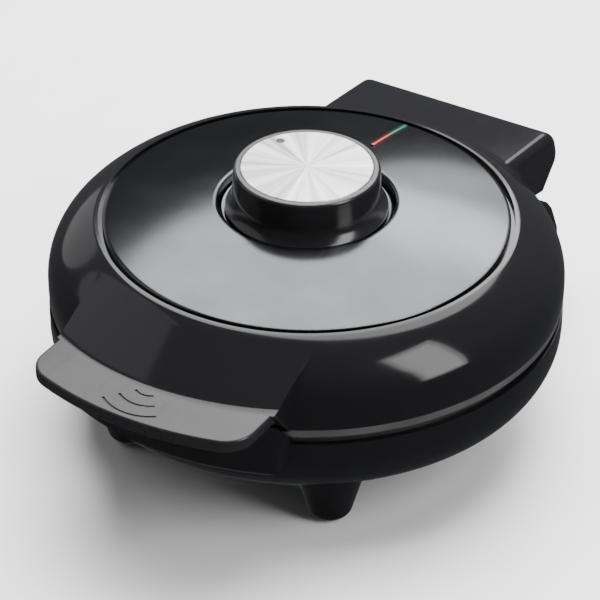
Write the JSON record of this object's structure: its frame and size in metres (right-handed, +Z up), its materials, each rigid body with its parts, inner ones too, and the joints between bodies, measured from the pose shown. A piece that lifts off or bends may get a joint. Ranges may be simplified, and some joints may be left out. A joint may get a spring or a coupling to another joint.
{
  "type": "donut maker",
  "caption": "Round tabletop donut maker: hinged domed lid with shelf handle, turning thermostat knob, light strip, ring-moulded cooking plates and conical feet.",
  "frame": {"origin": "centre of the footprint on the resting plane, on the round body's axis", "axes": "+Z up, +Y towards the hinge, -Y towards the handle, +X to the right seen from the handle"},
  "size_m": [0.23, 0.295, 0.126],
  "materials": {
    "gloss_shell": "deep gloss black moulding",
    "matte_trim": "fine satin texture",
    "dark_steel": "polished dark titanium-black sheet",
    "knob_black": "gloss black moulding",
    "spun_aluminium": "circular spun face",
    "cast_plate": "cast aluminium with black non-stick coating",
    "element_steel": "heat-tinted steel tube",
    "reflector": "mill finish sheet",
    "zinc_screws": "zinc plated",
    "hinge_steel": "ground pin",
    "rubber_pads": "matte rubber",
    "ceramic_white": "unglazed steatite",
    "red_lens": "translucent red moulding",
    "green_lens": "translucent green moulding",
    "lamp_glass": "clear glass envelope",
    "index_paint": "black inlay"
  },
  "bodies": {
    "base": {"lower_housing": "gloss_shell", "lower_plate_frame": "matte_trim", "lower_cooking_plate": "cast_plate", "lower_heating_element": "element_steel", "lower_heat_reflector": "reflector", "lower_plate_screws": "zinc_screws", "lower_housing_screws": "zinc_screws", "front_left_foot": "gloss_shell", "front_right_foot": "gloss_shell", "rear_left_foot": "gloss_shell", "rear_right_foot": "gloss_shell", "front_left_foot_pad": "rubber_pads", "front_right_foot_pad": "rubber_pads", "rear_left_foot_pad": "rubber_pads", "rear_right_foot_pad": "rubber_pads", "foot_screws": "zinc_screws", "cord_gland": "matte_trim", "terminal_block": "ceramic_white", "right_hinge_pin": "hinge_steel", "left_hinge_pin": "hinge_steel"},
    "lid": {"upper_housing": "gloss_shell", "top_plate": "dark_steel", "red_indicator_lens": "red_lens", "green_indicator_lens": "green_lens", "red_neon_lamp": "lamp_glass", "green_neon_lamp": "lamp_glass", "lamp_holder": "matte_trim", "upper_plate_frame": "matte_trim", "upper_cooking_plate": "cast_plate", "upper_heating_element": "element_steel", "upper_heat_reflector": "reflector", "upper_plate_screws": "zinc_screws", "upper_housing_screws": "zinc_screws", "thermostat_body": "ceramic_white", "thermostat_bracket": "reflector", "thermal_fuse": "ceramic_white"},
    "knob": {"control_knob": "knob_black", "knob_face": "spun_aluminium", "knob_index_dot": "index_paint", "thermostat_spindle": "hinge_steel"}
  },
  "joints": [
    {"name": "lid_hinge", "type": "hinge", "parent": "base", "child": "lid", "pos_m": [0, 0.132, 0.058], "axis": [-1, 0, 0], "range_deg": [0, 95]},
    {"name": "knob_turn", "type": "hinge", "parent": "lid", "child": "knob", "pos_m": [0, 0, 0.105], "axis": [0, 0, -1], "range_deg": [0, 270]}
  ]
}
